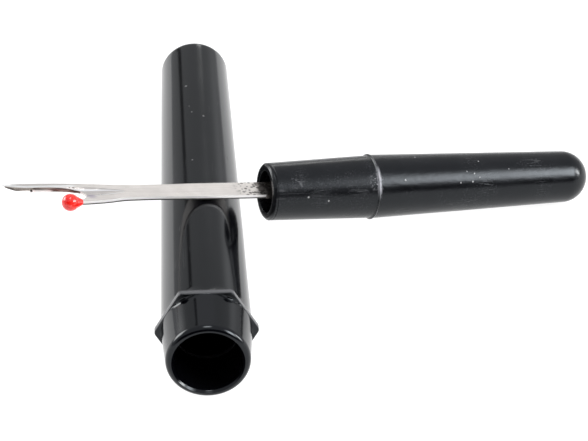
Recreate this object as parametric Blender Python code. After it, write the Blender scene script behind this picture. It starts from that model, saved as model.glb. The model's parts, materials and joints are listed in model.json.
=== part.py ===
"""Seam ripper lying across its own cap.

Four pieces: a forked steel blade whose tang sits in a turned plastic handle, a plastic
ball on the blade's short prong, and a push-on cap with a hexagonal anti-roll flange.
The cap lies along +Y with its mouth towards -Y. The ripper lies across it, along X, with
its point towards -X, its blade on the cap and the end of its grip on the table, at z = 0.
"""

import math

import bmesh
import bpy
from mathutils import Vector

MM = 0.001

# ---- clearances ----
FIT_GAP = 0.3 * MM  # between a piece and the socket that holds it
BALL_GAP = 0.12 * MM  # between the short prong's peg and the socket in the ball
REST_GAP = 0.2 * MM  # between the blade and the cap that it lies on
PLUG_CLEARANCE = 0.05 * MM  # radial, between the handle's plug and the cap's mouth

# ---- handle ----
PLUG_ROOT_R = 3.55 * MM
PLUG_TAPER = 0.33 * MM
PLUG_FRONT_R = PLUG_ROOT_R - PLUG_TAPER
PLUG_LENGTH = 12.4 * MM
PLUG_CHAMFER = 0.25 * MM
PLUG_WALL = 0.87 * MM  # between the front face's recess and the plug's outside
POCKET_R = PLUG_FRONT_R - PLUG_WALL
POCKET_DEPTH = 1.6 * MM
SHOULDER_STEP = 0.06 * MM
GRIP_FRONT_R = PLUG_ROOT_R + SHOULDER_STEP
GRIP_REAR_R = 2.98 * MM
LIP_HEIGHT = 0.11 * MM  # thin flash line on the shoulder
LIP_R = GRIP_FRONT_R + LIP_HEIGHT
LIP_WIDTH = 0.25 * MM
HANDLE_LENGTH = 39.45 * MM

# ---- blade, with distances measured from the plug's front face to the point ----
BLADE_THICKNESS = 0.45 * MM
SHANK_HALF_WIDTH = 1.35 * MM
WAIST_HALF_WIDTH = 1.26 * MM
WAIST_AT = 12.5 * MM
TANG_LENGTH = 9.0 * MM
EDGE_HOLLOW = 0.1 * MM  # of the far edge, between the waist and the long prong
EDGE_BULGE = 0.06 * MM  # of the near edge, between the waist and the short prong
CROTCH_AT = 20.75 * MM
CROTCH_R = 1.05 * MM
CROTCH_SIDE = -0.5 * MM  # centre of the fork's gap, off the shank's middle line
FORK_AT = CROTCH_AT + CROTCH_R
PRONG_OUTER = 1.93 * MM  # side of the long prong's outer edge
PRONG_INNER = 0.95 * MM
LONG_PRONG_LENGTH = 8.0 * MM  # past the fork's round bottom
POINT_AT = FORK_AT + LONG_PRONG_LENGTH
POINT_SIDE = 1.7 * MM
POINT_TAPER = 2.2 * MM  # length over which the long prong narrows to its point
POINT_GRIND = 3.0 * MM  # length of the underside that is ground to the point
POINT_THICKNESS = 0.15 * MM
SHORT_PRONG_WIDTH = 0.4 * MM
SHORT_PRONG_LENGTH = 1.1 * MM
SHORT_PRONG_SIDE = CROTCH_SIDE - CROTCH_R - SHORT_PRONG_WIDTH / 2
PEG_END_AT = FORK_AT + SHORT_PRONG_LENGTH
BLADE_LIFT = 0.23 * MM  # blade above the handle's axis at the front face
BLADE_BEND_UP = math.radians(1.5)
BLADE_BEND_SIDE = math.radians(0.75)

# ---- ball ----
BALL_R = 0.95 * MM
BALL_LENGTH = 2.3 * MM
BALL_COVER = 0.9 * MM  # from the short prong's end to the ball's front
BALL_FRONT_AT = PEG_END_AT + BALL_COVER
BALL_NECK_WALL = 0.18 * MM

# ---- cap, with distances measured from its mouth ----
MOUTH_WALL = 0.87 * MM
MOUTH_BORE_R = PLUG_ROOT_R + PLUG_CLEARANCE
MOUTH_R = MOUTH_BORE_R + MOUTH_WALL
COLLAR_FLARE = 0.35 * MM
BODY_FRONT_R = MOUTH_R + COLLAR_FLARE
BODY_REAR_R = 4.04 * MM
CAP_LENGTH = 63.6 * MM
DOME_HEIGHT = 2.5 * MM
RIM_LENGTH = 0.92 * MM
RIM_DEPTH = 0.45 * MM
LEAD_IN_LENGTH = 0.8 * MM
LEAD_IN_DEPTH = 0.35 * MM
FLANGE_AT = 5.7 * MM
FLANGE_THICKNESS = 0.8 * MM
FLANGE_PROUD = 0.03 * MM  # of the body, at the middle of each flat
FLANGE_FLAT_R = BODY_FRONT_R + FLANGE_PROUD
FLANGE_CORNER_R = 0.6 * MM
CAP_WALL = 0.85 * MM
CAP_END_WALL = 1.3 * MM

# ---- how they lie ----
CROSS_FROM_MOUTH = 25.65 * MM  # where the blade crosses the cap
CROSS_FROM_PLUG = 7.5 * MM  # the same place, measured along the blade
RIPPER_YAW = math.radians(14.9)

ROUND_SEGMENTS = 48
SMALL_SEGMENTS = 20
ARC_STEPS = 6
SHARP_ANGLE = math.radians(30)
CUT_MARGIN = 1.0 * MM  # how far a cutter runs past what it cuts


def clear_scene():
    for obj in list(bpy.data.objects):
        bpy.data.objects.remove(obj, do_unlink=True)


def plastic_or_metal(name, colour, roughness, metallic=0.0):
    material = bpy.data.materials.new(name)
    material.use_nodes = True
    shader = material.node_tree.nodes["Principled BSDF"]
    shader.inputs["Base Color"].default_value = (*colour, 1.0)
    shader.inputs["Roughness"].default_value = roughness
    shader.inputs["Metallic"].default_value = metallic
    material.diffuse_color = (*colour, 1.0)
    return material


def finish(name, bm, material=None, parent=None):
    """The bmesh as an object in the scene, smooth except at sharp edges."""
    bmesh.ops.remove_doubles(bm, verts=bm.verts, dist=1e-7)
    bmesh.ops.recalc_face_normals(bm, faces=bm.faces)
    mesh = bpy.data.meshes.new(name)
    bm.to_mesh(mesh)
    bm.free()
    mesh.shade_smooth()
    mesh.set_sharp_from_angle(angle=SHARP_ANGLE)
    obj = bpy.data.objects.new(name, mesh)
    bpy.context.scene.collection.objects.link(obj)
    if material:
        mesh.materials.append(material)
    if parent:
        obj.parent = parent
    return obj


def empty(name, parent=None):
    obj = bpy.data.objects.new(name, None)
    bpy.context.scene.collection.objects.link(obj)
    obj.empty_display_size = 5 * MM
    obj.parent = parent
    return obj


def turned(profile, segments):
    """A closed solid turned about X from (distance along X, radius) points, ends on the axis or not."""
    bm = bmesh.new()
    points = [bm.verts.new((x, 0.0, r)) for x, r in profile]
    edges = [bm.edges.new(pair) for pair in zip(points, points[1:])]
    if profile[0][1] > 0.0:
        edges.append(bm.edges.new((points[-1], points[0])))
    bmesh.ops.spin(
        bm,
        geom=points + edges,
        cent=(0.0, 0.0, 0.0),
        axis=(1.0, 0.0, 0.0),
        angle=math.tau,
        steps=segments,
        use_merge=True,
    )
    return bm


def arc(centre, radii, start, end, steps=ARC_STEPS):
    """Points of an ellipse's arc, from angle start to end in degrees, both ends included."""
    angles = [math.radians(start + (end - start) * i / steps) for i in range(steps + 1)]
    return [
        (centre[0] + radii[0] * math.cos(a), centre[1] + radii[1] * math.sin(a))
        for a in angles
    ]


def smooth_curve(points, steps=5):
    """A Catmull-Rom curve through the points."""
    padded = [points[0], *points, points[-1]]
    curve = []
    for i in range(1, len(padded) - 2):
        a, b, c, d = (Vector(p) for p in padded[i - 1 : i + 3])
        for k in range(steps):
            t = k / steps
            p = b + 0.5 * t * (
                (c - a)
                + t * ((2 * a - 5 * b + 4 * c - d) + t * (3 * b - 3 * c + d - a))
            )
            curve.append((p.x, p.y))
    curve.append(tuple(points[-1]))
    return curve


def cut(obj, cutter, operation="DIFFERENCE"):
    cutter.hide_render = True
    cutter.display_type = "WIRE"
    modifier = obj.modifiers.new(cutter.name, "BOOLEAN")
    modifier.operation = operation
    modifier.solver = "EXACT"
    modifier.object = cutter


def box_cutter(name, low, high, parent):
    bm = bmesh.new()
    bmesh.ops.create_cube(bm, size=1.0)
    low, high = Vector(low), Vector(high)
    for vert in bm.verts:
        vert.co = (low + high) / 2 + Vector(
            a * b for a, b in zip(vert.co, high - low)
        )
    return finish(name, bm, parent=parent)


# ---- where things rest ----
def body_radius_at(distance):
    """Outer radius of the cap's body at a distance from its mouth."""
    start = FLANGE_AT + FLANGE_THICKNESS
    share = (distance - start) / (CAP_LENGTH - DOME_HEIGHT - start)
    return BODY_FRONT_R + (BODY_REAR_R - BODY_FRONT_R) * share


def cap_tilt():
    """The cap rests on its flange's lower flat and on the lower side of its closed end."""
    drop = FLANGE_FLAT_R - BODY_REAR_R
    return math.atan2(drop, CAP_LENGTH - DOME_HEIGHT - FLANGE_AT)


def mouth_height():
    tilt = cap_tilt()
    return FLANGE_FLAT_R * math.cos(tilt) + FLANGE_AT * math.sin(tilt)


def crossing_height(blade_pitch):
    """Height of the blade's middle plane over the cap's axis plane, where they cross."""
    tilt = cap_tilt()
    axis_height = mouth_height() - CROSS_FROM_MOUTH * math.sin(tilt)
    reach = body_radius_at(CROSS_FROM_MOUTH) + REST_GAP + BLADE_THICKNESS / 2
    return axis_height + reach / math.cos(blade_pitch)


def dome_centre():
    """Distance from the plug's front face to the centre of the grip's round end."""
    return HANDLE_LENGTH - GRIP_REAR_R


def ripper_pitch():
    """The pitch at which the blade lies on the cap and the grip's round end on the table."""
    low, high = 0.0, math.radians(40)
    for _ in range(60):
        pitch = (low + high) / 2
        blade_pitch = pitch + BLADE_BEND_UP
        front = GRIP_REAR_R + dome_centre() * math.sin(pitch)
        blade = front + BLADE_LIFT + CROSS_FROM_PLUG * math.sin(blade_pitch)
        if blade < crossing_height(blade_pitch):
            low = pitch
        else:
            high = pitch
    return pitch


def lay_cap_frame(parent):
    """Empty at the middle of the cap's mouth, with X along its axis towards the closed end."""
    frame = empty("cap_frame", parent)
    frame.location = (0.0, 0.0, mouth_height())
    frame.rotation_euler = (0.0, cap_tilt(), math.pi / 2)
    return frame


def lay_ripper_frame(parent):
    """Empty at the middle of the plug's front face, with X along the handle to its round end."""
    pitch = ripper_pitch()
    frame = empty("ripper_lift", parent)
    reach = CROSS_FROM_PLUG * math.cos(pitch + BLADE_BEND_UP)
    yaw = RIPPER_YAW - BLADE_BEND_SIDE
    frame.location = (
        reach * math.cos(yaw),
        CROSS_FROM_MOUTH + reach * math.sin(yaw),
        GRIP_REAR_R + dome_centre() * math.sin(pitch),
    )
    frame.rotation_euler = (0.0, pitch, RIPPER_YAW)
    return frame


# ---- cap ----
def cap_outside():
    rim = arc((RIM_LENGTH, MOUTH_R - RIM_DEPTH), (RIM_LENGTH, RIM_DEPTH), 180, 90)
    dome_start = CAP_LENGTH - DOME_HEIGHT
    dome = arc((dome_start, 0.0), (DOME_HEIGHT, BODY_REAR_R), 90, 0, 10)
    middle = (FLANGE_AT + dome_start) / 2
    return [
        (0.0, 0.0),
        *rim,
        (FLANGE_AT, BODY_FRONT_R),
        (FLANGE_AT + FLANGE_THICKNESS, BODY_FRONT_R),
        (middle, body_radius_at(middle)),
        *dome[:-1],
        (CAP_LENGTH, 0.0),
    ]


def bore_inside():
    end_r = BODY_REAR_R - CAP_WALL
    end = CAP_LENGTH - CAP_END_WALL
    round_start = end - DOME_HEIGHT
    round_end = arc((round_start, 0.0), (DOME_HEIGHT, end_r), 90, 0, 8)
    return [
        (-CUT_MARGIN, 0.0),
        (-CUT_MARGIN, MOUTH_BORE_R + LEAD_IN_DEPTH),
        *arc(
            (LEAD_IN_LENGTH, MOUTH_BORE_R + LEAD_IN_DEPTH),
            (LEAD_IN_LENGTH, LEAD_IN_DEPTH),
            180,
            270,
            4,
        ),
        *round_end[:-1],
        (end, 0.0),
    ]


def flange_plate(parent):
    bm = bmesh.new()
    corner = FLANGE_FLAT_R / math.cos(math.pi / 6)
    ring = [
        bm.verts.new(
            (
                FLANGE_AT,
                corner * math.cos(math.radians(60 * k)),
                corner * math.sin(math.radians(60 * k)),
            )
        )
        for k in range(6)
    ]
    face = bm.faces.new(ring)
    made = bmesh.ops.extrude_face_region(bm, geom=[face])
    for vert in (g for g in made["geom"] if isinstance(g, bmesh.types.BMVert)):
        vert.co.x += FLANGE_THICKNESS
    bmesh.ops.recalc_face_normals(bm, faces=bm.faces)
    corners = [e for e in bm.edges if abs(e.verts[0].co.x - e.verts[1].co.x) > 1e-6]
    bmesh.ops.bevel(
        bm,
        geom=corners,
        offset=FLANGE_CORNER_R * math.tan(math.radians(30)),
        segments=3,
        profile=0.5,
        affect="EDGES",
    )
    return finish("flange_form", bm, parent=parent)


def make_cap(frame):
    material = plastic_or_metal("black_gloss_plastic", (0.012, 0.012, 0.014), 0.16)
    cap = finish("cap", turned(cap_outside(), ROUND_SEGMENTS), material, frame)
    bore = finish("bore_form", turned(bore_inside(), ROUND_SEGMENTS), parent=frame)
    cut(cap, flange_plate(frame), "UNION")
    cut(cap, bore)
    return cap


# ---- handle ----
def handle_outside():
    dome = arc((dome_centre(), 0.0), (GRIP_REAR_R, GRIP_REAR_R), 88, 0, 10)
    lip_start = PLUG_LENGTH - LIP_WIDTH / 2
    lip_end = PLUG_LENGTH + LIP_WIDTH / 2
    return [
        (POCKET_DEPTH, 0.0),
        (POCKET_DEPTH, POCKET_R),
        (0.0, POCKET_R),
        (0.0, PLUG_FRONT_R - PLUG_CHAMFER),
        (PLUG_CHAMFER, PLUG_FRONT_R),
        (lip_start, PLUG_ROOT_R),
        (PLUG_LENGTH, LIP_R),
        (lip_end, GRIP_FRONT_R),
        *dome[:-1],
        (HANDLE_LENGTH, 0.0),
    ]


def make_handle(frame, blade_frame):
    material = plastic_or_metal("black_satin_plastic", (0.014, 0.014, 0.016), 0.32)
    handle = finish("handle", turned(handle_outside(), ROUND_SEGMENTS), material, frame)
    half_width = SHANK_HALF_WIDTH + FIT_GAP
    half_height = BLADE_THICKNESS / 2 + FIT_GAP
    slot = box_cutter(
        "tang_slot_form",
        (POCKET_DEPTH - CUT_MARGIN, -half_width, -half_height),
        (TANG_LENGTH + FIT_GAP, half_width, half_height),
        blade_frame,
    )
    cut(handle, slot)
    return handle


# ---- blade ----
def blade_outline():
    """(distance from the plug, side) round the blade, from the tang along its far edge to the point."""
    shoulder_at = WAIST_AT + (CROTCH_AT - WAIST_AT) * 2 / 3
    prong_start = FORK_AT + 2 * CROTCH_R
    taper_start = POINT_AT - POINT_TAPER
    short_prong_outer = SHORT_PRONG_SIDE - SHORT_PRONG_WIDTH / 2
    far_shoulder = (WAIST_HALF_WIDTH + PRONG_OUTER) / 2 - EDGE_HOLLOW
    near_shoulder = (short_prong_outer - WAIST_HALF_WIDTH) / 2 - EDGE_BULGE
    far_edge = smooth_curve(
        [
            (0.0, SHANK_HALF_WIDTH),
            (WAIST_AT, WAIST_HALF_WIDTH),
            (shoulder_at, far_shoulder),
            (prong_start, PRONG_OUTER),
            (taper_start, PRONG_OUTER),
            (POINT_AT, POINT_SIDE),
        ]
    )
    inner_edge = smooth_curve(
        [
            (POINT_AT, POINT_SIDE),
            (taper_start, PRONG_INNER),
            (prong_start, PRONG_INNER),
            (FORK_AT, CROTCH_SIDE + CROTCH_R),
        ]
    )
    crotch = arc((FORK_AT, CROTCH_SIDE), (CROTCH_R, CROTCH_R), 90, 270, 12)
    near_edge = smooth_curve(
        [
            (FORK_AT, short_prong_outer),
            (shoulder_at, near_shoulder),
            (WAIST_AT, -WAIST_HALF_WIDTH),
            (0.0, -SHANK_HALF_WIDTH),
        ]
    )
    return [
        (-TANG_LENGTH, SHANK_HALF_WIDTH),
        *far_edge,
        *inner_edge[1:],
        *crotch[1:],
        (PEG_END_AT, SHORT_PRONG_SIDE + SHORT_PRONG_WIDTH / 2),
        (PEG_END_AT, short_prong_outer),
        *near_edge,
        (-TANG_LENGTH, -SHANK_HALF_WIDTH),
    ]


def lay_blade_frame(frame):
    """Empty at the blade's root, bent a little up and aside, with X towards the handle."""
    blade_frame = empty("blade_frame", frame)
    blade_frame.location = (0.0, 0.0, BLADE_LIFT)
    blade_frame.rotation_euler = (0.0, BLADE_BEND_UP, -BLADE_BEND_SIDE)
    return blade_frame


def point_grind(blade_frame):
    """Wedge that takes the underside of the long prong up to the top face at the point."""
    bm = bmesh.new()
    start = -(POINT_AT - POINT_GRIND)
    end = -(POINT_AT + CUT_MARGIN)
    slope = (BLADE_THICKNESS - POINT_THICKNESS) / POINT_GRIND
    corners = []
    for side in (0.0, PRONG_OUTER + CUT_MARGIN):
        corners.append(
            [
                bm.verts.new((start, side, -BLADE_THICKNESS / 2)),
                bm.verts.new((end, side, -BLADE_THICKNESS / 2 + slope * (start - end))),
                bm.verts.new((end, side, -BLADE_THICKNESS)),
                bm.verts.new((start, side, -BLADE_THICKNESS)),
            ]
        )
    bm.faces.new(corners[0])
    bm.faces.new(reversed(corners[1]))
    for k in range(4):
        after = (k + 1) % 4
        bm.faces.new((corners[0][k], corners[1][k], corners[1][after], corners[0][after]))
    return finish("point_grind_form", bm, parent=blade_frame)


def make_blade(blade_frame):
    material = plastic_or_metal("nickel_steel", (0.62, 0.60, 0.57), 0.28, 1.0)
    bm = bmesh.new()
    outline = [
        bm.verts.new((-distance, side, -BLADE_THICKNESS / 2))
        for distance, side in blade_outline()
    ]
    face = bm.faces.new(outline)
    made = bmesh.ops.extrude_face_region(bm, geom=[face])
    for vert in (g for g in made["geom"] if isinstance(g, bmesh.types.BMVert)):
        vert.co.z += BLADE_THICKNESS
    bmesh.ops.triangulate(bm, faces=bm.faces)
    blade = finish("blade", bm, material, blade_frame)
    cut(blade, point_grind(blade_frame))
    return blade


# ---- ball ----
def make_ball(blade_frame):
    material = plastic_or_metal("red_ball_plastic", (0.62, 0.02, 0.015), 0.12)
    socket_r = math.hypot(SHORT_PRONG_WIDTH, BLADE_THICKNESS) / 2 + BALL_GAP
    socket_end = PEG_END_AT + BALL_GAP - BALL_FRONT_AT
    head = arc((-BALL_R, 0.0), (BALL_R, BALL_R), 0, 130, 14)
    profile = [
        (socket_end, 0.0),
        (socket_end, socket_r),
        (-BALL_LENGTH, socket_r),
        (-BALL_LENGTH, socket_r + BALL_NECK_WALL),
        *reversed(head[1:]),
        (0.0, 0.0),
    ]
    bm = turned(profile, SMALL_SEGMENTS)
    for vert in bm.verts:
        vert.co.x, vert.co.y = -vert.co.x, -vert.co.y
    ball = finish("ball", bm, material, blade_frame)
    ball.location = (-BALL_FRONT_AT, SHORT_PRONG_SIDE, 0.0)
    return ball


def stand_on_origin(base, nodes):
    """Moves everything so that the middle of its footprint is the origin."""
    bpy.context.view_layer.update()
    graph = bpy.context.evaluated_depsgraph_get()
    points = []
    for obj in nodes:
        evaluated = obj.evaluated_get(graph)
        mesh = evaluated.to_mesh()
        points += [evaluated.matrix_world @ vert.co for vert in mesh.vertices]
        evaluated.to_mesh_clear()
    low = [min(p[axis] for p in points) for axis in range(3)]
    high = [max(p[axis] for p in points) for axis in range(3)]
    base.location = (-(low[0] + high[0]) / 2, -(low[1] + high[1]) / 2, -low[2])


def main():
    clear_scene()
    base = empty("object_base")
    cap_frame = lay_cap_frame(base)
    ripper_frame = lay_ripper_frame(base)
    blade_frame = lay_blade_frame(ripper_frame)
    nodes = [
        make_cap(cap_frame),
        make_handle(ripper_frame, blade_frame),
        make_blade(blade_frame),
        make_ball(blade_frame),
    ]
    stand_on_origin(base, nodes)


main()
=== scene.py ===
"""A seam ripper lying across its own cap, on a pale table in soft studio light."""

import json
import math

import bmesh
import bpy
from mathutils import Matrix, Vector


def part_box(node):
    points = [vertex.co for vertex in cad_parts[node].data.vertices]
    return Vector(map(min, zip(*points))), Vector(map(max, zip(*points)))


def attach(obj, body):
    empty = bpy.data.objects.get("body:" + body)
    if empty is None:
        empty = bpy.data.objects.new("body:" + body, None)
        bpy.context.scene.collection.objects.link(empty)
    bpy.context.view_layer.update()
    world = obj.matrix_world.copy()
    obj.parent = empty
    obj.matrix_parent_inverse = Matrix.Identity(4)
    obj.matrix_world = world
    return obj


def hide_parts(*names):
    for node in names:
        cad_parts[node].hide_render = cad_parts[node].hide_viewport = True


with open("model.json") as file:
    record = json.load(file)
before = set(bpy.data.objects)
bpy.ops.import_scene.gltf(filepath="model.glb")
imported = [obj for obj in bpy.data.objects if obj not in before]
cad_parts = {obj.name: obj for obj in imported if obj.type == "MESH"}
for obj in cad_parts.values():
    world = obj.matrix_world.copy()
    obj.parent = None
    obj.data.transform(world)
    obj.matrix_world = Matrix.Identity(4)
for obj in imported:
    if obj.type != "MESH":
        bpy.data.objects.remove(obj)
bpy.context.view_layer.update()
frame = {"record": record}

MM = 0.001

# ---- handle, in its own frame: X runs from the plug's front face to the grip's round end ----
PLUG_FRONT_R = 3.22 * MM
PLUG_ROOT_R = 3.55 * MM
PLUG_LENGTH = 12.4 * MM
PLUG_CHAMFER = 0.25 * MM
POCKET_R = 2.35 * MM
POCKET_DEPTH = 1.6 * MM
POCKET_CORNER = 0.2 * MM
POCKET_LIP = 0.12 * MM
PLUG_EDGE = 0.05 * MM
GROOVE_AT = 0.16 * MM
GROOVE_WIDTH = 0.14 * MM
GROOVE_DEPTH = 0.05 * MM
GROOVE_SIDE = 0.04 * MM
LIP_R = 3.72 * MM
LIP_HALF = 0.125 * MM
GRIP_FRONT_R = 3.61 * MM
GRIP_REAR_R = 2.98 * MM
HANDLE_LENGTH = 39.45 * MM
RIPPER_YAW = math.radians(14.9)
RIPPER_PITCH = math.radians(8.1)

# ---- cap, in its own frame: X runs from the mouth to the closed end ----
BORE_R = 3.6 * MM
MOUTH_R = 4.47 * MM
BODY_FRONT_R = 4.82 * MM
BODY_REAR_R = 4.04 * MM
CAP_LENGTH = 63.6 * MM
DOME_HEIGHT = 2.5 * MM
RIM_LENGTH = 0.72 * MM
RIM_DEPTH = 0.62 * MM
LEAD_IN_LENGTH = 0.65 * MM
# how far along the lead-in, and how far from the bore's wall to the rim, as shares
LEAD_IN_SHAPE = ((1.0, 0.0), (0.75, 0.05), (0.5, 0.2), (0.34, 0.42), (0.2, 0.66), (0.08, 0.86), (0.0, 1.0))
CAP_WALL = 0.85 * MM
CAP_END_WALL = 1.3 * MM
FLANGE_AT = 5.7 * MM
FLANGE_THICKNESS = 0.8 * MM
FLANGE_FLAT_R = 4.85 * MM
FLANGE_CORNER_R = 0.6 * MM
FLANGE_EDGE = 0.09 * MM
FLANGE_FILLET = 0.12 * MM

# ---- blade, as distances from the plug's front face towards the point, and sides off its middle line ----
BLADE_THICKNESS = 0.45 * MM
BLADE_LIFT = 0.23 * MM
BLADE_BEND_UP = math.radians(1.5)
BLADE_BEND_SIDE = math.radians(0.75)
TANG_END = -8.9 * MM
CROTCH_AT = 20.75 * MM
CROTCH_R = 1.05 * MM
CROTCH_SIDE = -0.5 * MM
FORK_AT = CROTCH_AT + CROTCH_R
POINT_AT = 29.8 * MM
PEG_END_AT = 22.9 * MM
SHORT_PRONG_WIDTH = 0.4 * MM
SHORT_PRONG_SIDE = CROTCH_SIDE - CROTCH_R - SHORT_PRONG_WIDTH / 2
GRIND_START = 16.3 * MM
GRIND_DEPTH = 0.2 * MM
GRIND_HALF_WIDTH = 0.69 * MM
GRIND_SPREAD = 2.85 * MM
GRIND_SIDE = -0.03 * MM
THIN_FROM = 26.8 * MM
POINT_THICKNESS = 0.1 * MM
WALL_LEAN = 0.13 * MM
HEEL_AT = 26.0 * MM
HEEL_REACH = 0.16 * MM
BLADE_EDGE_ROUND = 0.045 * MM

# ---- ball ----
BALL_R = 0.95 * MM
BALL_FRONT_AT = 23.8 * MM
BALL_NECK_AT = 21.5 * MM
BALL_NECK_R = 0.3 * MM
BALL_BACK_INSET = 0.03 * MM
BALL_COLUMNS = 72

# ---- camera, angles in radians ----
LENS = 158.7
SENSOR = 36.0
CAMERA_AZIMUTH = -0.0562
CAMERA_ELEVATION = 0.5843
CAMERA_FROM_MOUTH = Vector((-3.26, -215.87, 160.39)) * MM

ROUND = 256  # columns round the cap and the handle
OWN_PLACE = "own_place"  # each vertex's place in its piece's own frame, which the materials read


# ---------------------------------------------------------------- where things lie
def cap_place():
    """The cap's own frame, from the flat of its flange that it rests on."""
    mount = frame["record"]["mounts"][0]
    down = Vector(mount["axis"]).normalized()
    along = Vector((0.0, -down.z, down.y))
    along = (along - along.dot(down) * down).normalized()
    middle = Vector(mount["pos_m"]) - down * FLANGE_FLAT_R
    mouth = middle - along * (FLANGE_AT + FLANGE_THICKNESS / 2)
    up = -down
    side = up.cross(along)
    matrix = Matrix((along, side, up)).transposed().to_4x4()
    matrix.translation = mouth
    return matrix


def ripper_place():
    """The handle's own frame, from the box of its CAD node: the round end touches three of its sides."""
    low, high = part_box("handle")
    round_end = Vector((high.x - GRIP_REAR_R, high.y - GRIP_REAR_R, low.z + GRIP_REAR_R))
    turn = Matrix.Rotation(RIPPER_YAW, 4, "Z") @ Matrix.Rotation(RIPPER_PITCH, 4, "Y")
    matrix = Matrix.Translation(round_end) @ turn
    return matrix @ Matrix.Translation((-(HANDLE_LENGTH - GRIP_REAR_R), 0.0, 0.0))


def blade_place():
    """The blade's own frame: a little above the handle's axis, bent up and aside."""
    bend = Matrix.Rotation(-BLADE_BEND_SIDE, 4, "Z") @ Matrix.Rotation(BLADE_BEND_UP, 4, "Y")
    return ripper_place() @ Matrix.Translation((0.0, 0.0, BLADE_LIFT)) @ bend


# ---------------------------------------------------------------- mesh helpers
def arc(centre, radii, start, end, steps):
    """Points of an ellipse's arc, from angle start to end in degrees, both ends included."""
    angles = [math.radians(start + (end - start) * i / steps) for i in range(steps + 1)]
    return [
        (centre[0] + radii[0] * math.cos(a), centre[1] + radii[1] * math.sin(a))
        for a in angles
    ]


def spaced(start, end, steps):
    """Points on a straight line of a profile, without its first point."""
    return [
        (
            start[0] + (end[0] - start[0]) * i / steps,
            start[1] + (end[1] - start[1]) * i / steps,
        )
        for i in range(1, steps + 1)
    ]


def smoothstep(low, high, value):
    """A smooth rise from 0 at low to 1 at high."""
    t = min(max((value - low) / (high - low), 0.0), 1.0)
    return t * t * (3 - 2 * t)


def smooth_curve(points, steps=8):
    """A Catmull-Rom curve through the points, as a list of (x, y)."""
    padded = [points[0], *points, points[-1]]
    curve = []
    for i in range(1, len(padded) - 2):
        a, b, c, d = (Vector(p) for p in padded[i - 1 : i + 3])
        for k in range(steps):
            t = k / steps
            p = b + 0.5 * t * (
                (c - a)
                + t * ((2 * a - 5 * b + 4 * c - d) + t * (3 * b - 3 * c + d - a))
            )
            curve.append((p.x, p.y))
    curve.append(tuple(points[-1]))
    return curve


def value_at(curve, x):
    """The curve's height at x, where x rises along the curve."""
    for (x0, y0), (x1, y1) in zip(curve, curve[1:]):
        if x <= x1:
            return y0 + (y1 - y0) * max(x - x0, 0.0) / max(x1 - x0, 1e-12)
    return curve[-1][1]


def piece(name, bm, place, material, body, node, sharp=35.0):
    """The bmesh as a shown piece that rides a body and stands for a CAD node."""
    bmesh.ops.remove_doubles(bm, verts=bm.verts, dist=1e-8)
    bmesh.ops.recalc_face_normals(bm, faces=bm.faces)
    mesh = bpy.data.meshes.new(name)
    bm.to_mesh(mesh)
    bm.free()
    own_place = mesh.attributes.new(OWN_PLACE, "FLOAT_VECTOR", "POINT")
    for vertex, stored in zip(mesh.vertices, own_place.data):
        stored.vector = vertex.co
    mesh.transform(place)
    mesh.shade_smooth()
    mesh.set_sharp_from_angle(angle=math.radians(sharp))
    mesh.materials.append(material)
    obj = bpy.data.objects.new(name, mesh)
    bpy.context.scene.collection.objects.link(obj)
    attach(obj, body)
    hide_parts(node)
    return obj


def ring_surface(bm, rows, columns):
    """Faces between rows of (x, radius) whose radius may change with the angle; a radius of 0 is a pole."""
    made = []
    for x, radius in rows:
        at = radius if callable(radius) else (lambda angle, r=radius: r)
        if at(0.0) < 1e-9:
            made.append([bm.verts.new((x, 0.0, 0.0))])
            continue
        ring = []
        for k in range(columns):
            angle = math.tau * k / columns
            r = at(angle)
            ring.append(bm.verts.new((x, r * math.cos(angle), r * math.sin(angle))))
        made.append(ring)
    for a, b in zip(made, made[1:]):
        for k in range(columns):
            after = (k + 1) % columns
            corners = [a[k % len(a)], a[after % len(a)], b[after % len(b)], b[k % len(b)]]
            corners = list(dict.fromkeys(corners))
            if len(corners) > 2:
                bm.faces.new(corners)


# ---------------------------------------------------------------- cap
def hexagon_radius(angle):
    """Distance from the axis to the flange's outline, a hexagon with round corners and a flat on top."""
    off = (angle - math.pi / 2 + math.pi / 6) % (math.pi / 3) - math.pi / 6
    off = abs(off)
    corner_middle = (FLANGE_FLAT_R - FLANGE_CORNER_R) / math.cos(math.pi / 6)
    tangent = math.atan2(corner_middle * math.sin(math.pi / 6), FLANGE_FLAT_R)
    if off <= tangent:
        return FLANGE_FLAT_R / math.cos(off)
    delta = math.pi / 6 - off
    return corner_middle * math.cos(delta) + math.sqrt(
        FLANGE_CORNER_R**2 - (corner_middle * math.sin(delta)) ** 2
    )


def flange_row(share, inset):
    """A row of the flange: share 0 lies on the body, 1 on the hexagon, less an inset for its round edge."""
    def radius(angle):
        grown = hexagon_radius(angle) - inset
        return BODY_FRONT_R + max(grown - BODY_FRONT_R, 0.0) * share
    return radius


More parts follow.
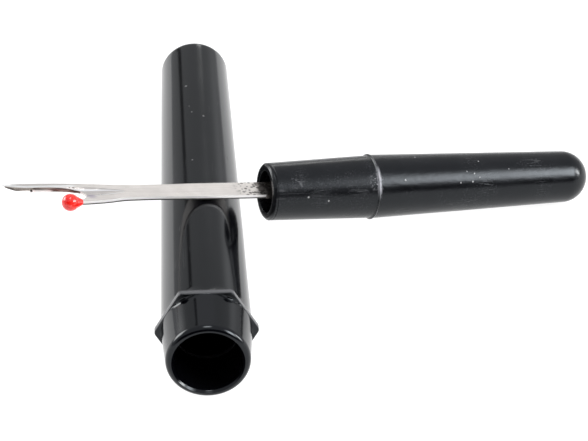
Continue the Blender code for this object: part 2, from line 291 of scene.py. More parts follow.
def cap_rows():
    """The cap's profile: rim, collar, flange, body, closed end, and back along the bore to the rim."""
    rim = arc((RIM_LENGTH, MOUTH_R - RIM_DEPTH), (RIM_LENGTH, RIM_DEPTH), 180, 90, 14)
    lip = MOUTH_R - RIM_DEPTH - BORE_R
    lead_in = smooth_curve(
        [(LEAD_IN_LENGTH * along, BORE_R + lip * up) for along, up in LEAD_IN_SHAPE], 3
    )
    dome_start = CAP_LENGTH - DOME_HEIGHT
    dome = arc((dome_start, 0.0), (DOME_HEIGHT, BODY_REAR_R), 90, 0, 24)
    bore_end = CAP_LENGTH - CAP_END_WALL
    bore_round = bore_end - DOME_HEIGHT
    bore_dome = arc((bore_round, 0.0), (DOME_HEIGHT, BODY_REAR_R - CAP_WALL), 0, 90, 14)
    flange_end = FLANGE_AT + FLANGE_THICKNESS
    collar = spaced(rim[-1], (FLANGE_AT - FLANGE_FILLET, BODY_FRONT_R), 12)
    front_edge = arc((FLANGE_AT + FLANGE_EDGE, FLANGE_EDGE), (-FLANGE_EDGE, -FLANGE_EDGE), 0, 90, 4)
    rear_edge = arc((flange_end - FLANGE_EDGE, FLANGE_EDGE), (FLANGE_EDGE, FLANGE_EDGE), -90, 0, 4)
    flange = [
        (FLANGE_AT - 0.3 * FLANGE_FILLET, flange_row(0.12, 0.0)),
        (FLANGE_AT, flange_row(0.35, 0.0)),
        *((x, flange_row(1.0, inset)) for x, inset in [*front_edge, *rear_edge]),
        (flange_end, flange_row(0.35, 0.0)),
        (flange_end + 0.3 * FLANGE_FILLET, flange_row(0.12, 0.0)),
    ]
    body_front = (flange_end + FLANGE_FILLET, BODY_FRONT_R)
    body = [body_front, *spaced(body_front, (dome_start, BODY_REAR_R), 60)]
    bore = spaced((bore_round, BODY_REAR_R - CAP_WALL), lead_in[0], 20)
    return [*rim, *collar, *flange, *body, *dome[1:], *bore_dome, *bore, *lead_in[1:]]


def make_cap(material):
    """The cap as one closed skin: outside and bore, which meet at the front of the mouth."""
    bm = bmesh.new()
    outside_and_bore = cap_rows()
    split = next(i for i, (_, r) in enumerate(outside_and_bore) if not callable(r) and r < 1e-9)
    ring_surface(bm, outside_and_bore[: split + 1], ROUND)
    ring_surface(bm, outside_and_bore[split + 1 :], ROUND)
    join_rims(bm)
    return piece("cap_shell", bm, cap_place(), material, "cap", "cap")


def join_rims(bm):
    """Joins the outside's first row to the bore's last, at the front of the mouth."""
    edges = [e for e in bm.edges if e.is_boundary]
    bmesh.ops.bridge_loops(bm, edges=edges)


# ---------------------------------------------------------------- handle
def handle_rows():
    """The handle's profile: recess, plug with its groove, raised ring, grip and round end."""
    corner_r = POCKET_R - POCKET_CORNER
    pocket_floor = [(POCKET_DEPTH, 0.0), *spaced((POCKET_DEPTH, 0.0), (POCKET_DEPTH, corner_r), 6)]
    pocket = arc((POCKET_DEPTH - POCKET_CORNER, corner_r), (POCKET_CORNER, POCKET_CORNER), 0, 90, 5)
    mouth = arc((POCKET_LIP, POCKET_R + POCKET_LIP), (POCKET_LIP, POCKET_LIP), 270, 180, 5)
    chamfer_in = PLUG_FRONT_R - PLUG_CHAMFER
    chamfer = spaced(
        (0.3 * PLUG_EDGE, chamfer_in), (PLUG_CHAMFER - PLUG_EDGE, PLUG_FRONT_R - PLUG_EDGE), 3
    )
    groove_start = PLUG_CHAMFER + GROOVE_AT
    groove_end = groove_start + GROOVE_WIDTH
    plug_side = (groove_end + GROOVE_SIDE, PLUG_FRONT_R + 0.009 * MM)
    shoulder = (PLUG_LENGTH - LIP_HALF, PLUG_ROOT_R)
    grip_start = (PLUG_LENGTH + LIP_HALF, GRIP_FRONT_R)
    dome = arc((HANDLE_LENGTH - GRIP_REAR_R, 0.0), (GRIP_REAR_R, GRIP_REAR_R), 88, 0, 36)
    return [
        *pocket_floor,
        *pocket[1:],
        *mouth,
        (0.0, chamfer_in - PLUG_EDGE),
        (0.3 * PLUG_EDGE, chamfer_in),
        *chamfer,
        (PLUG_CHAMFER, PLUG_FRONT_R - 0.25 * PLUG_EDGE),
        (PLUG_CHAMFER + PLUG_EDGE, PLUG_FRONT_R),
        (groove_start, PLUG_FRONT_R + 0.004 * MM),
        (groove_start + GROOVE_SIDE, PLUG_FRONT_R - GROOVE_DEPTH),
        (groove_end - GROOVE_SIDE, PLUG_FRONT_R - GROOVE_DEPTH),
        (groove_end, PLUG_FRONT_R + 0.008 * MM),
        *spaced(plug_side, shoulder, 40),
        (PLUG_LENGTH - 0.04 * MM, LIP_R - 0.02 * MM),
        (PLUG_LENGTH, LIP_R),
        (PLUG_LENGTH + 0.05 * MM, LIP_R - 0.03 * MM),
        grip_start,
        *spaced(grip_start, dome[0], 60),
        *dome[1:],
    ]


def make_handle(material):
    """The handle as one closed skin, turned about its own axis."""
    bm = bmesh.new()
    ring_surface(bm, handle_rows(), ROUND)
    return piece("handle_grip", bm, ripper_place(), material, "ripper", "handle")


# ---------------------------------------------------------------- blade
def far_edge():
    """Outer edge on the long prong's side, as (distance, side); its points are in millimetres."""
    points = [
        (TANG_END / MM, 1.35),
        (0.0, 1.35),
        (7.3, 1.36),
        (12.2, 1.27),
        (15.4, 1.3),
        (18.3, 1.48),
        (21.0, 1.74),
        (25.0, 1.93),
        (27.4, 1.93),
        (28.8, 1.86),
        (POINT_AT / MM, 1.72),
    ]
    return [(x * MM, y * MM) for x, y in smooth_curve(points)]


def near_edge():
    """Outer edge on the short prong's side, to the end of its peg; its points are in millimetres."""
    points = [
        (TANG_END / MM, -1.35),
        (0.0, -1.37),
        (7.3, -1.36),
        (12.2, -1.27),
        (15.6, -1.32),
        (17.0, -1.43),
        (18.4, -1.68),
        (19.8, -1.84),
        (21.2, -1.94),
        (PEG_END_AT / MM, -1.95),
    ]
    return [(x * MM, y * MM) for x, y in smooth_curve(points)]


def long_prong_inner():
    """Inner edge of the long prong, from the fork's bottom to the point; its points are in millimetres."""
    points = [
        (FORK_AT / MM, 0.55),
        (22.6, 0.79),
        (23.8, 0.9),
        (25.6, 0.99),
        (26.6, 0.95),
        (27.8, 0.98),
        (28.8, 1.2),
        (29.5, 1.52),
        (POINT_AT / MM, 1.68),
    ]
    return [(x * MM, y * MM) for x, y in smooth_curve(points)]


LONG_INNER = long_prong_inner()


def stations(end):
    """Distances along one prong's strip, close together over the grind and round the fork's bottom."""
    crotch_rows = 16
    rows = []
    at = TANG_END
    while at < CROTCH_AT - 1e-6:
        rows.append(at)
        at += 0.1 * MM if at > GRIND_START - 0.4 * MM else 0.4 * MM
    rows.append(CROTCH_AT)
    for k in range(1, crotch_rows + 1):
        rows.append(CROTCH_AT + CROTCH_R * (1 - math.cos(math.pi / 2 * k / crotch_rows)))
    steps = max(2, round((end - FORK_AT) / (0.12 * MM)))
    rows += [FORK_AT + (end - FORK_AT) * k / steps for k in range(1, steps + 1)]
    return rows


def inner_side(at, sign):
    """Side of a prong's inner edge: the shank's middle seam, then the round bottom, then the prong."""
    if at <= CROTCH_AT:
        return CROTCH_SIDE
    if at <= FORK_AT:
        reach = FORK_AT - at
        return CROTCH_SIDE + sign * math.sqrt(max(CROTCH_R**2 - reach**2, 0.0))
    if sign > 0:
        return value_at(LONG_INNER, at)
    return SHORT_PRONG_SIDE + SHORT_PRONG_WIDTH / 2


def grind(at, side):
    """Depth of the leaf-shaped hollow that sharpens the fork's round bottom, below the top face."""
    if at <= GRIND_START:
        return 0.0
    half = GRIND_HALF_WIDTH * math.sqrt((at - GRIND_START) / GRIND_SPREAD)
    across = abs(side - GRIND_SIDE) / half
    if across >= 1:
        return 0.0
    along = smoothstep(GRIND_START, CROTCH_AT + 0.6 * MM, at) * (
        1 - smoothstep(FORK_AT, FORK_AT + 3.0 * MM, at)
    )
    hollow = 0.03 * MM + GRIND_DEPTH * along
    return hollow * (1 - across**2) ** 0.6


def underside(at):
    """Height of the blade's lower face: level, then ground up to a thin point."""
    if at <= THIN_FROM:
        return -BLADE_THICKNESS / 2
    share = (at - THIN_FROM) / (POINT_AT - THIN_FROM)
    return -BLADE_THICKNESS / 2 + (BLADE_THICKNESS - POINT_THICKNESS) * share**0.9


def wall_slant(at):
    """How far the long prong's inner wall leans back from its lower edge to its upper one."""
    started = smoothstep(CROTCH_AT, FORK_AT + 0.5 * MM, at)
    return WALL_LEAN * started * (1 - smoothstep(POINT_AT - 1.8 * MM, POINT_AT - 0.2 * MM, at))


def heel_reach(at):
    """How far the lower edge stands out past the upper one where the point is ground on its near side."""
    started = smoothstep(HEEL_AT, THIN_FROM, at)
    return HEEL_REACH * started * (1 - smoothstep(POINT_AT - 1.6 * MM, POINT_AT - 0.2 * MM, at))


def blade_strip(bm, outer, sign, end):
    """One prong with its half of the shank: top and lower faces, and the walls round them."""
    columns = 22
    rows = []
    for at in stations(end):
        a = inner_side(at, sign)
        b = value_at(outer, at)
        top, low = [], []
        for k in range(columns + 1):
            share = (1 - math.cos(math.pi * k / columns)) / 2
            side = a + (b - a) * share
            lean = wall_slant(at) * (1 - share) if sign > 0 else 0.0
            top.append(bm.verts.new((-at, side + lean, BLADE_THICKNESS / 2 - grind(at, side))))
            lower = side - (heel_reach(at) * (1 - share) if sign > 0 else 0.0)
            low.append(bm.verts.new((-at, lower, underside(at) if sign > 0 else -BLADE_THICKNESS / 2)))
        rows.append((at, top, low))
    for (at, top, low), (_, next_top, next_low) in zip(rows, rows[1:]):
        for k in range(columns):
            bm.faces.new((top[k], top[k + 1], next_top[k + 1], next_top[k]))
            bm.faces.new((low[k + 1], low[k], next_low[k], next_low[k + 1]))
        bm.faces.new((top[columns], low[columns], next_low[columns], next_top[columns]))
        if at >= CROTCH_AT - 1e-9:
            bm.faces.new((low[0], top[0], next_top[0], next_low[0]))
    for _, top, low in (rows[0], rows[-1]):
        for k in range(columns):
            bm.faces.new((top[k], low[k], low[k + 1], top[k + 1]))


def make_blade(material, wall_material, edge_material):
    """The blade, with the fork's sheared inner wall and the near edge in steels of their own: the near edge
    burnished pale as a painted highlight, and dark as painted shade on its downward faces.
    """
    bm = bmesh.new()
    blade_strip(bm, far_edge(), 1, POINT_AT)
    blade_strip(bm, near_edge(), -1, PEG_END_AT)
    bmesh.ops.remove_doubles(bm, verts=bm.verts, dist=1e-7)
    bmesh.ops.dissolve_degenerate(bm, edges=bm.edges, dist=1e-8)
    bmesh.ops.recalc_face_normals(bm, faces=bm.faces)
    rims = [
        e
        for e in bm.edges
        if len(e.link_faces) == 2 and e.calc_face_angle() > math.radians(50)
    ]
    bmesh.ops.bevel(
        bm,
        geom=rims,
        offset=BLADE_EDGE_ROUND,
        segments=3,
        profile=0.5,
        affect="EDGES",
        clamp_overlap=True,
    )
    blade = piece("blade_fork", bm, blade_place(), material, "ripper", "blade", 28.0)
    blade.data.materials.append(wall_material)
    blade.data.materials.append(edge_material)
    own = blade_place().inverted()
    turn = own.to_3x3()
    for face in blade.data.polygons:
        centre = own @ face.center
        tilt = (turn @ face.normal).z
        is_wall = abs(tilt) <= 0.75
        if not is_wall:
            continue
        if -centre.x > FORK_AT - 0.6 * MM and 0 < centre.y < 1.5 * MM:
            face.material_index = 1
        # the near edge: pale steel as a painted highlight where it faces out or up, the dark sheared steel
        # as painted shade where it faces down
        if -centre.x > 0.3 * MM and centre.y < -0.9 * MM:
            face.material_index = 2 if tilt > -0.5 else 1
    return blade


# ---------------------------------------------------------------- ball
def make_ball(material):
    """The ball: a round head that narrows along a straight neck to its flat back."""
    head = arc((BALL_R - BALL_FRONT_AT, 0.0), (BALL_R, BALL_R), 180, 46, 40)
    neck = spaced(head[-1], (-BALL_NECK_AT, BALL_NECK_R), 10)
    back = BALL_BACK_INSET - BALL_NECK_AT
    rows = [*head, *neck, (back, BALL_NECK_R * 0.8), (back, 0.0)]
    bm = bmesh.new()
    ring_surface(bm, rows, BALL_COLUMNS)
    place = blade_place() @ Matrix.Translation((0.0, SHORT_PRONG_SIDE, 0.0))
    return piece("ball_tip", bm, place, material, "ripper", "ball")


# ---------------------------------------------------------------- materials
class Nodes:
    """Short calls for building one material's node tree."""

    def __init__(self, name):
        self.material = bpy.data.materials.new(name)
        self.material.use_nodes = True
        self.tree = self.material.node_tree
        self.shader = self.tree.nodes["Principled BSDF"]
        self.place = self.node("Attribute", attribute_name=OWN_PLACE).outputs["Vector"]

    def put(self, socket, value):
        if isinstance(value, bpy.types.NodeSocket):
            self.tree.links.new(value, socket)
        else:
            socket.default_value = value

    def node(self, kind, inputs=None, **settings):
        made = self.tree.nodes.new("ShaderNode" + kind)
        for key, value in settings.items():
            setattr(made, key, value)
        for key, value in (inputs or {}).items():
            self.put(made.inputs[key], value)
        return made

    def maths(self, operation, a, b=0.0):
        return self.node("Math", {0: a, 1: b}, operation=operation).outputs[0]

    def product(self, first, *rest):
        for value in rest:
            first = self.maths("MULTIPLY", first, value)
        return first

    def total(self, first, *rest):
        """The strongest of several masks."""
        for value in rest:
            first = self.maths("MAXIMUM", first, value)
        return first

    def stretched(self, scale, turn=(0.0, 0.0, 0.0)):
        """The piece's own places, turned and scaled by a factor for each axis."""
        inputs = {"Vector": self.place, "Scale": scale, "Rotation": turn}
        return self.node("Mapping", inputs).outputs[0]

    def noise(self, scale, detail=3.0, rough=0.5, vector=None):
        inputs = {"Vector": vector or self.place, "Scale": scale, "Detail": detail, "Roughness": rough}
        return self.node("TexNoise", inputs).outputs["Fac"]

    def between(self, value, low, high, out_low=0.0, out_high=1.0):
        """A smooth ramp from out_low at low to out_high at high; low may be the greater."""
        inputs = {0: value, 1: low, 2: high, 3: out_low, 4: out_high}
        return self.node("MapRange", inputs, interpolation_type="SMOOTHSTEP").outputs[0]

    def dots(self, scale, size, share):
        """Small round specks: one in some cells of a pattern. size is a share of a cell."""
        cells = self.node("TexVoronoi", {"Vector": self.place, "Scale": scale})
        draw = self.node("SeparateColor", {0: cells.outputs["Color"]}).outputs[0]
        chosen = self.between(draw, 1 - share, 1 - share + 0.001)
        return self.product(self.between(cells.outputs["Distance"], size, size * 0.5), chosen)

    def scratches(self, turn, density, gap):
        """Fine lines along one direction, broken up by a coarser pattern."""
        vector = self.stretched((60.0, density, density), turn)
        lines = self.noise(1.0, 2.0, 0.4, vector)
        fine = self.between(self.maths("ABSOLUTE", self.maths("SUBTRACT", lines, 0.5)), 0.012, 0.0)
        broken = self.between(self.noise(260.0, 2.0), gap, gap + 0.08)
        return self.product(fine, broken)

    def spot(self, centre, radius, soft=0.5):
        """A round mask about a point of the piece."""
        offset = self.node("VectorMath", {0: self.place, 1: centre}, operation="DISTANCE")
        return self.between(offset.outputs["Value"], radius, radius * soft)

    def band(self, middle, half):
        """A soft band across the piece's axis."""
        x = self.node("SeparateXYZ", {0: self.place}).outputs[0]
        return self.between(self.maths("ABSOLUTE", self.maths("SUBTRACT", x, middle)), half, half * 0.3)

    def specks(self, places):
        """Single specks at chosen places, as (distance, radius of the piece there, degrees, size)."""
        spots = [
            self.spot(on_round(at, radius, degrees), size * MM, 0.6)
            for at, radius, degrees, size in places
        ]
        return self.total(*spots)

    def mix(self, share, a, b):
        made = self.node("Mix", {0: share, 6: a, 7: b}, data_type="RGBA")
        return made.outputs[2]

    def bump(self, height, distance, strength=1.0, normal=None):
        inputs = {"Height": height, "Distance": distance, "Strength": strength}
        if normal:
            inputs["Normal"] = normal
        return self.node("Bump", inputs).outputs[0]

    def finish(self, colour, rough, normal):
        """Wires the shader's main inputs and gives back the material."""
        self.put(self.shader.inputs["Base Color"], colour)
        self.put(self.shader.inputs["Roughness"], rough)
        self.put(self.shader.inputs["Normal"], normal)
        return self.material


def on_round(along, radius, degrees):
    """A point on a turned piece: distance along its axis, and the angle from its far side over its top."""
    angle = math.radians(degrees)
    return (along * MM, radius * MM * math.cos(angle), radius * MM * math.sin(angle))


PLASTIC_GLOSS = 0.36
PLASTIC_TINT = (0.89, 0.95, 1.0, 1.0)


def black_plastic(name):
    """A new material with the weak bluish reflection of both black mouldings."""
    n = Nodes(name)
    n.shader.inputs["Specular IOR Level"].default_value = PLASTIC_GLOSS
    n.shader.inputs["Specular Tint"].default_value = PLASTIC_TINT
    return n


def glossy_black():
    """The cap's plastic: smooth, with a few specks, fine scuffs, and a rougher flange band made paler as a
    painted sheen.
    """
    n = black_plastic("glossy_black")
    dust = n.total(n.dots(900.0, 0.09, 0.03), n.dots(420.0, 0.05, 0.05), n.specks(CAP_SPECKS))
    haze = n.noise(55.0, 4.0, 0.6)
    scuffs = n.scratches((0.0, 0.0, 0.35), 2600.0, 0.6)
    edge = n.band(FLANGE_AT + FLANGE_THICKNESS / 2, 0.42 * MM)
    colour = n.mix(n.between(haze, 0.3, 0.7), (0.001, 0.0011, 0.0018, 1), (0.0022, 0.0023, 0.0032, 1))
    colour = n.mix(n.product(dust, 0.35), colour, (0.3, 0.3, 0.3, 1))
    # painted sheen: the flange band is made paler to stand for the light its edges catch
    colour = n.mix(n.product(edge, 0.6), colour, (0.15, 0.15, 0.157, 1))
    rough = n.between(haze, 0.25, 0.75, 0.085, 0.15)
    rough = n.maths("ADD", rough, n.product(scuffs, 0.12))
    rough = n.maths("ADD", rough, n.product(edge, 0.2))
    waves = n.noise(1.0, 2.0, 0.4, n.stretched((70.0, 260.0, 260.0)))
    normal = n.bump(waves, 0.00002, 0.5)
    return n.finish(colour, rough, n.bump(n.total(dust, scuffs), 0.000008, 0.5, normal))


# (distance along the handle, radius there, degrees from its far side over its top, size), in millimetres
HANDLE_SPECKS = (
    (4.0, 3.35, 163.0, 0.14),
    (6.4, 3.4, 172.0, 0.13),
    (15.6, 3.55, 140.0, 0.15),
    (17.6, 3.5, 87.0, 0.1),
    (22.4, 3.4, 150.0, 0.12),
    (23.3, 3.4, 128.0, 0.12),
    (23.9, 3.35, 149.0, 0.14),
    (24.2, 3.35, 133.0, 0.13),
    (24.8, 3.35, 141.0, 0.13),
    (25.1, 3.35, 105.0, 0.13),
    (28.6, 3.25, 126.0, 0.1),
    (29.4, 3.25, 86.0, 0.1),
)
CAP_SPECKS = (
    (33.5, 4.45, 80.0, 0.14),
    (43.5, 4.3, 100.0, 0.16),
    (44.5, 4.3, 82.0, 0.13),
    (46.0, 4.3, 78.0, 0.12),
    (51.0, 4.2, 74.0, 0.22),
)


def shoulder_wear(n):
    """Where the raised ring is rubbed pale: strongest at one place on top, weak all round."""
    middle = on_round(12.45, 3.65, 140.0)
    worn = n.product(n.band(middle[0], 0.32 * MM), n.spot(middle, 2.3 * MM, 0.2))
    frayed = n.product(n.band(middle[0] - 0.5 * MM, 1.1 * MM), n.spot(middle, 1.5 * MM, 0.1))
    return n.total(
        n.product(worn, n.between(n.noise(3000.0, 3.0, 0.6), 0.3, 0.5)),
        n.product(frayed, n.between(n.noise(4200.0, 3.0, 0.6), 0.52, 0.64)),
        n.product(n.band(middle[0], 0.12 * MM), n.between(n.noise(700.0), 0.4, 0.6, 0.0, 0.3)),
    )


def satin_black():
    """The handle's plastic: duller than the cap's, dusty, scuffed, scraped and worn at its shoulder."""
    n = black_plastic("satin_black")
    dust = n.total(n.dots(800.0, 0.11, 0.04), n.dots(380.0, 0.05, 0.06), n.specks(HANDLE_SPECKS))
    haze = n.noise(120.0, 5.0, 0.65)
    flakes = n.between(n.noise(2300.0, 4.0, 0.7), 0.54, 0.62)
    scraped = n.product(n.spot(on_round(2.9, 3.3, 133.0), 1.3 * MM, 0.2), flakes)
    scuffs = n.total(
        n.scratches((0.0, 0.0, 0.5), 1500.0, 0.56), n.scratches((0.4, 0.0, -0.7), 1700.0, 0.6)
    )
    wear = shoulder_wear(n)
    film = n.product(
        n.between(n.noise(5200.0, 2.0), 0.5, 0.7), n.between(n.noise(260.0), 0.42, 0.62)
    )
    colour = n.mix(n.between(haze, 0.3, 0.7), (0.001, 0.0011, 0.0017, 1), (0.002, 0.0021, 0.003, 1))
    colour = n.mix(n.product(film, 0.35), colour, (0.05, 0.05, 0.056, 1))
    colour = n.mix(n.product(scuffs, 0.25), colour, (0.12, 0.12, 0.125, 1))
    colour = n.mix(n.product(dust, 0.6), colour, (0.5, 0.5, 0.5, 1))
    colour = n.mix(n.product(scraped, 0.3), colour, (0.2, 0.2, 0.21, 1))
    colour = n.mix(n.product(wear, 0.9), colour, (0.42, 0.42, 0.45, 1))
    rough = n.between(haze, 0.25, 0.75, 0.18, 0.27)
    rough = n.maths("ADD", rough, n.product(n.total(scuffs, wear), 0.2))
    x = n.node("SeparateXYZ", {0: n.place}).outputs[0]
    on_plug = n.between(x, PLUG_LENGTH + 0.3 * MM, PLUG_LENGTH - 0.3 * MM, 0.0, 0.03)
    rough = n.maths("ADD", rough, on_plug)
    grain = n.bump(n.noise(5200.0, 2.0, 0.5), 0.000004, 0.35)
    smears = n.noise(1.0, 3.0, 0.6, n.stretched((900.0, 2000.0, 2000.0)))
    normal = n.bump(smears, 0.00002, 0.8, grain)
    return n.finish(colour, rough, n.bump(n.total(dust, scuffs, wear), 0.00001, 0.6, normal))


PRONG_HIGHLIGHT_SIDE = 1.33 * MM
PRONG_RISE = 0.37 * MM
PRONG_RISE_START = POINT_AT - 3.0 * MM


def leaf_painted_shade_and_highlight(n, colour, x, y):
    """Painted light on the ground hollow before the fork: a leaf greyed as painted shade, a bright line
    inside it as a painted highlight, and a dark rim as painted shade.
    """
    run = n.maths("MAXIMUM", n.product(n.maths("ADD", x, GRIND_START), -1 / GRIND_SPREAD), 0.0)
    half = n.product(n.maths("SQRT", run), GRIND_HALF_WIDTH)
    off_middle = n.maths("ABSOLUTE", n.maths("SUBTRACT", y, GRIND_SIDE))
    across = n.maths("DIVIDE", off_middle, n.maths("ADD", half, 1e-6))
    before_fork = n.between(x, -FORK_AT - 0.5 * MM, -FORK_AT + 0.3 * MM)
    started = n.between(x, -GRIND_START, -GRIND_START - 0.2 * MM)
    leaf = n.product(n.between(across, 1.0, 0.85), before_fork)
    line = n.product(leaf, n.between(across, 0.5, 0.65), n.between(across, 0.9, 0.8))
    rim = n.product(n.between(across, 0.85, 0.95), n.between(across, 1.15, 1.05), before_fork, started)
    # painted light: the leaf is greyed as painted shade, its line whitened as a painted highlight, its rim
    # darkened as painted shade
    colour = n.mix(n.product(leaf, 0.4), colour, (0.6, 0.57, 0.56, 1))
    colour = n.mix(line, colour, (1.0, 1.0, 1.0, 1))
    return n.mix(n.product(rim, 0.5), colour, (0.4, 0.37, 0.35, 1))


def prong_painted_light(n, colour, x, y):
    """Painted light on the long prong: a white stripe along it as a painted highlight, rising towards the
    point, and grey beyond it as painted shade.
    """
    rise = n.between(x, -PRONG_RISE_START, -POINT_AT, 0.0, PRONG_RISE)
    off_stripe = n.maths("SUBTRACT", n.maths("SUBTRACT", y, PRONG_HIGHLIGHT_SIDE), rise)
    near_stripe = n.between(n.maths("ABSOLUTE", off_stripe), 0.22 * MM, 0.1 * MM)
    stripe = n.product(near_stripe, n.between(x, -21.3 * MM, -22.2 * MM))
    beyond = n.product(
        n.between(off_stripe, 0.1 * MM, 0.22 * MM), n.between(x, -20.5 * MM, -22.5 * MM)
    )
    # painted shade beyond the stripe
    colour = n.mix(n.product(beyond, 0.5), colour, (0.5, 0.48, 0.47, 1))
    # painted highlight: the white stripe along the long prong
    return n.mix(stripe, colour, (1.0, 1.0, 1.0, 1))


def nickel():
    """The blade's bright plating: brushed, cloudy, pitted near the handle, with painted shade inside its
    recess and at the fork's bottom, and painted light on the grind and the long prong.
    """
    n = Nodes("nickel_steel")
    brushed = n.noise(1.0, 4.0, 0.6, n.stretched((150.0, 5200.0, 5200.0)))
    cloud = n.noise(420.0, 4.0, 0.6)
    pits = n.product(
        n.total(n.dots(2600.0, 0.65, 0.5), n.dots(1500.0, 0.45, 0.4)),
        n.spot((-0.9 * MM, 0.0, 0.2 * MM), 3.2 * MM, 0.45),
    )
    x, y, _ = n.node("SeparateXYZ", {0: n.place}).outputs
    mottled = n.between(n.noise(2600.0, 3.0), 0.4, 0.6, 0.4, 0.95)
    # painted shade: the blade is darkened, mottled, where it enters the handle's recess
    recess_shade = n.product(n.between(x, -1.0 * MM, -0.75 * MM), mottled)
    # painted shade: a purplish grey darkening at the bottom of the fork's hollow
    crotch_shade = n.spot((-20.3 * MM, -0.75 * MM, 0.1 * MM), 0.85 * MM, 0.1)
    colour = n.mix(n.between(cloud, 0.3, 0.7), (0.76, 0.72, 0.69, 1), (0.86, 0.82, 0.79, 1))
    colour = n.mix(n.between(brushed, 0.35, 0.75, 0.0, 0.35), colour, (0.62, 0.57, 0.54, 1))
    colour = leaf_painted_shade_and_highlight(n, colour, x, y)
    colour = n.mix(n.product(pits, 0.85), colour, (0.05, 0.045, 0.04, 1))
    colour = n.mix(recess_shade, colour, (0.2, 0.175, 0.16, 1))
    colour = n.mix(n.product(crotch_shade, 0.8), colour, (0.45, 0.4, 0.5, 1))
    colour = prong_painted_light(n, colour, x, y)
    n.shader.inputs["Metallic"].default_value = 1.0
    return n.finish(colour, n.between(brushed, 0.2, 0.8, 0.26, 0.4), n.bump(brushed, 0.000003, 0.5))


def sheared_steel():
    """The fork's inner wall: rough and dark from the cut, with a bright lower strip painted as a highlight
    and one black fleck.
    """
    n = Nodes("sheared_steel")
    streaks = n.noise(1.0, 4.0, 0.65, n.stretched((900.0, 300.0, 5200.0)))
    x, _, z = n.node("SeparateXYZ", {0: n.place}).outputs
    lower = n.product(n.between(z, 0.0, -0.06 * MM), n.between(x, -24.0 * MM, -24.6 * MM))
    fleck = n.spot((-26.6 * MM, 1.0 * MM, -0.1 * MM), 0.22 * MM, 0.5)
    colour = n.mix(n.between(streaks, 0.3, 0.7), (0.05, 0.042, 0.036, 1), (0.34, 0.3, 0.27, 1))
    # painted highlight: a bright strip along the wall's lower edge towards the point
    colour = n.mix(n.product(lower, 0.85), colour, (0.85, 0.83, 0.81, 1))
    colour = n.mix(fleck, colour, (0.01, 0.01, 0.01, 1))
    n.shader.inputs["Metallic"].default_value = 0.9
    return n.finish(colour, n.between(streaks, 0.2, 0.8, 0.35, 0.6), n.bump(streaks, 0.00001, 0.6))


def burnished_edge_painted_light():
    """The blade's near edge: burnished and smooth, made pale above as a painted highlight and dark along
    its lower side as painted shade.
    """
    n = Nodes("burnished_edge_painted_light")
    streaks = n.noise(1.0, 3.0, 0.5, n.stretched((260.0, 900.0, 4200.0)))
    height = n.node("SeparateXYZ", {0: n.place}).outputs[2]
    shaded = n.between(height, -0.03 * MM, -0.1 * MM, 0.0, 0.95)
    # painted highlight: the near edge is coloured near white for the light it catches
    colour = n.mix(n.between(streaks, 0.3, 0.7), (0.86, 0.84, 0.82, 1), (0.97, 0.96, 0.95, 1))
    # painted shade towards the edge's lower side
    colour = n.mix(shaded, colour, (0.02, 0.018, 0.016, 1))
    n.shader.inputs["Metallic"].default_value = 0.25
    return n.finish(colour, n.between(streaks, 0.2, 0.8, 0.3, 0.45), n.bump(streaks, 0.000004, 0.5))


def red_ball():
    """The ball's glossy red plastic, which light enters a little."""
    n = Nodes("red_ball")
    depth = n.noise(900.0, 2.0, 0.5)
    colour = n.mix(n.between(depth, 0.3, 0.7), (0.82, 0.01, 0.008, 1), (0.98, 0.03, 0.02, 1))
    n.shader.inputs["Subsurface Weight"].default_value = 0.25
    n.shader.inputs["Subsurface Radius"].default_value = (1.0, 0.2, 0.15)
    n.shader.inputs["Subsurface Scale"].default_value = 0.5 * MM
    n.shader.inputs["Coat Weight"].default_value = 0.5
    n.shader.inputs["Coat Roughness"].default_value = 0.14
    rough = n.between(n.noise(1500.0, 3.0), 0.3, 0.7, 0.16, 0.24)
    return n.finish(colour, rough, n.bump(depth, 0.000003, 0.3))


# ---------------------------------------------------------------- studio
def stage_plane(name, size, place, material, shown=True):
    """A flat piece of the studio, which lights the object whether or not the camera sees it."""
    mesh = bpy.data.meshes.new(name)
    x, y = size[0] / 2, size[1] / 2
    mesh.from_pydata([(-x, -y, 0), (x, -y, 0), (x, y, 0), (-x, y, 0)], [], [(0, 1, 2, 3)])
    mesh.materials.append(material)
    obj = bpy.data.objects.new(name, mesh)
    bpy.context.scene.collection.objects.link(obj)
    obj.matrix_world = place
    obj.visible_camera = shown
    return obj


def facing(position):
    """A place at position whose +Z looks at the middle of the table."""
    matrix = (-Vector(position)).to_track_quat("Z", "Y").to_matrix().to_4x4()
    matrix.translation = position
    return matrix


def overhead(sideways, forward, distance):
    """A place at two angles from straight up: towards +X, and towards the camera. Its +Z faces away."""
    a, b = math.radians(sideways), math.radians(forward)
    across = Vector((math.cos(a), math.sin(a) * math.sin(b), -math.sin(a) * math.cos(b)))
    along = Vector((0.0, -math.cos(b), -math.sin(b)))
    matrix = Matrix((across, along, across.cross(along))).transposed().to_4x4()
    direction = Vector((math.sin(a), -math.cos(a) * math.sin(b), math.cos(a) * math.cos(b)))
    matrix.translation = distance * direction
    return matrix


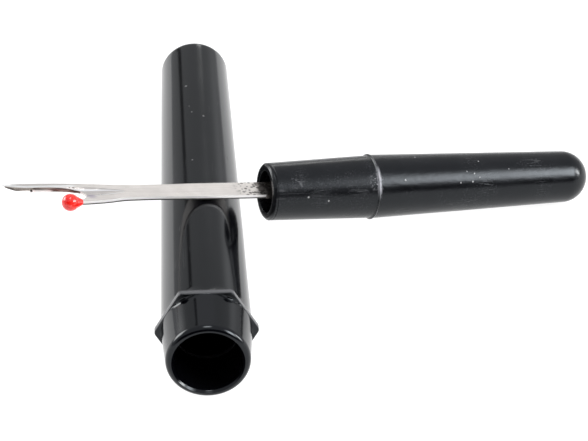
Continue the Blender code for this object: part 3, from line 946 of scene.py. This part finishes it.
def glow(name, colour, strength, soft=0.0):
    """An even glow, or with soft above 0 one that fades out over that share of the plane at each edge."""
    material = bpy.data.materials.new(name)
    material.use_nodes = True
    tree = material.node_tree
    tree.nodes.remove(tree.nodes["Principled BSDF"])
    light = tree.nodes.new("ShaderNodeEmission")
    light.inputs["Color"].default_value = (*colour, 1.0)
    light.inputs["Strength"].default_value = strength
    tree.links.new(light.outputs[0], tree.nodes["Material Output"].inputs["Surface"])
    if not soft:
        return material
    place = tree.nodes.new("ShaderNodeTexCoord").outputs["Generated"]
    parts = tree.nodes.new("ShaderNodeSeparateXYZ")
    tree.links.new(place, parts.inputs[0])
    share = 1.0
    for axis in range(2):
        for low, high in ((0.0, soft), (1.0, 1.0 - soft)):
            ramp = tree.nodes.new("ShaderNodeMapRange")
            ramp.interpolation_type = "SMOOTHSTEP"
            ramp.inputs[1].default_value = low
            ramp.inputs[2].default_value = high
            tree.links.new(parts.outputs[axis], ramp.inputs[0])
            if isinstance(share, bpy.types.NodeSocket):
                tree.links.new(share, ramp.inputs[4])
            share = ramp.outputs[0]
    blend = tree.nodes.new("ShaderNodeMixShader")
    tree.links.new(share, blend.inputs[0])
    tree.links.new(tree.nodes.new("ShaderNodeBsdfTransparent").outputs[0], blend.inputs[1])
    tree.links.new(light.outputs[0], blend.inputs[2])
    tree.links.new(blend.outputs[0], tree.nodes["Material Output"].inputs["Surface"])
    return material


def table_top():
    """A pale even surface that glows itself, so that it stays white right up to the object."""
    n = Nodes("pale_table")
    colour = n.mix(n.noise(30.0, 3.0), (0.24, 0.24, 0.24, 1), (0.26, 0.26, 0.26, 1))
    n.put(n.shader.inputs["Base Color"], colour)
    n.shader.inputs["Roughness"].default_value = 0.9
    n.shader.inputs["Specular IOR Level"].default_value = 0.1
    n.shader.inputs["Emission Color"].default_value = (1.0, 1.0, 1.0, 1.0)
    n.shader.inputs["Emission Strength"].default_value = 0.93
    return n.material


WARM = (1.0, 0.99, 0.97)
COOL = (0.97, 0.985, 1.0)
# (name, size, place, colour, strength, share of the plane over which it fades out at each edge)
PANELS = (
    ("key_panel", (0.48, 0.72), overhead(49.5, 31.0, 0.9), (0.97, 0.98, 1.0), 15.0, 0.42),
    ("left_panel", (0.8, 0.6), facing((-0.84, 0.45, 0.36)), WARM, 9.0, 0.3),
    ("top_panel", (0.36, 0.5), facing((0.0, 0.0, 0.9)), (1.0, 1.0, 1.0), 8.0, 0.35),
    ("backdrop", (3.4, 1.2), facing((0.15, 1.6, 0.62)), COOL, 0.58, 0.0),
    ("blade_card", (0.2, 0.2), facing((0.17, 1.187, 0.41)), WARM, 4.6, 0.3),
    ("right_card", (0.8, 0.6), facing((0.9, 1.3, 0.4)), COOL, 1.0, 0.45),
    ("left_card", (0.6, 0.6), facing((-1.0, 1.15, 0.42)), COOL, 1.0, 0.45),
    ("low_card", (0.34, 0.5), facing((0.95, -0.06, 0.3)), WARM, 22.0, 0.4),
    ("seam", (0.09, 0.9), facing((-0.53, 1.3, 0.6)), (0.1, 0.1, 0.1), 1.0, 0.0),
    ("front_flag", (4.0, 0.95), facing((0.0, -1.1, 0.49)), (0.012, 0.012, 0.014), 1.0, 0.0),
)
TABLE_TOP = -0.02 * MM


def make_studio():
    """The table, the panels round it that the camera doesn't see, and the even light of the room."""
    stage_plane("table", (6.0, 6.0), Matrix.Translation((0.0, 0.0, TABLE_TOP)), table_top())
    for name, size, place, colour, strength, soft in PANELS:
        stage_plane(name, size, place, glow(name + "_glow", colour, strength, soft), shown=False)
    world = bpy.data.worlds.new("studio")
    bpy.context.scene.world = world
    world.use_nodes = True
    background = world.node_tree.nodes["Background"]
    background.inputs["Color"].default_value = (0.95, 0.96, 1.0, 1.0)
    background.inputs["Strength"].default_value = 0.72
    bpy.context.scene.view_settings.view_transform = "Standard"


def make_camera():
    """The camera, placed from the middle of the cap's mouth."""
    data = bpy.data.cameras.new("camera")
    data.lens = LENS
    data.sensor_width = SENSOR
    data.clip_start = 0.005
    camera = bpy.data.objects.new("camera", data)
    bpy.context.scene.collection.objects.link(camera)
    right = Vector((math.cos(CAMERA_AZIMUTH), math.sin(CAMERA_AZIMUTH), 0.0))
    level = Vector((math.sin(CAMERA_AZIMUTH), -math.cos(CAMERA_AZIMUTH), 0.0))
    back = level * math.cos(CAMERA_ELEVATION) + Vector((0.0, 0.0, math.sin(CAMERA_ELEVATION)))
    matrix = Matrix((right, back.cross(right), back)).transposed().to_4x4()
    matrix.translation = cap_place().translation + CAMERA_FROM_MOUTH
    camera.matrix_world = matrix
    bpy.context.scene.camera = camera


make_camera()
make_cap(glossy_black())
make_handle(satin_black())
make_blade(nickel(), sheared_steel(), burnished_edge_painted_light())
make_ball(red_ball())
make_studio()
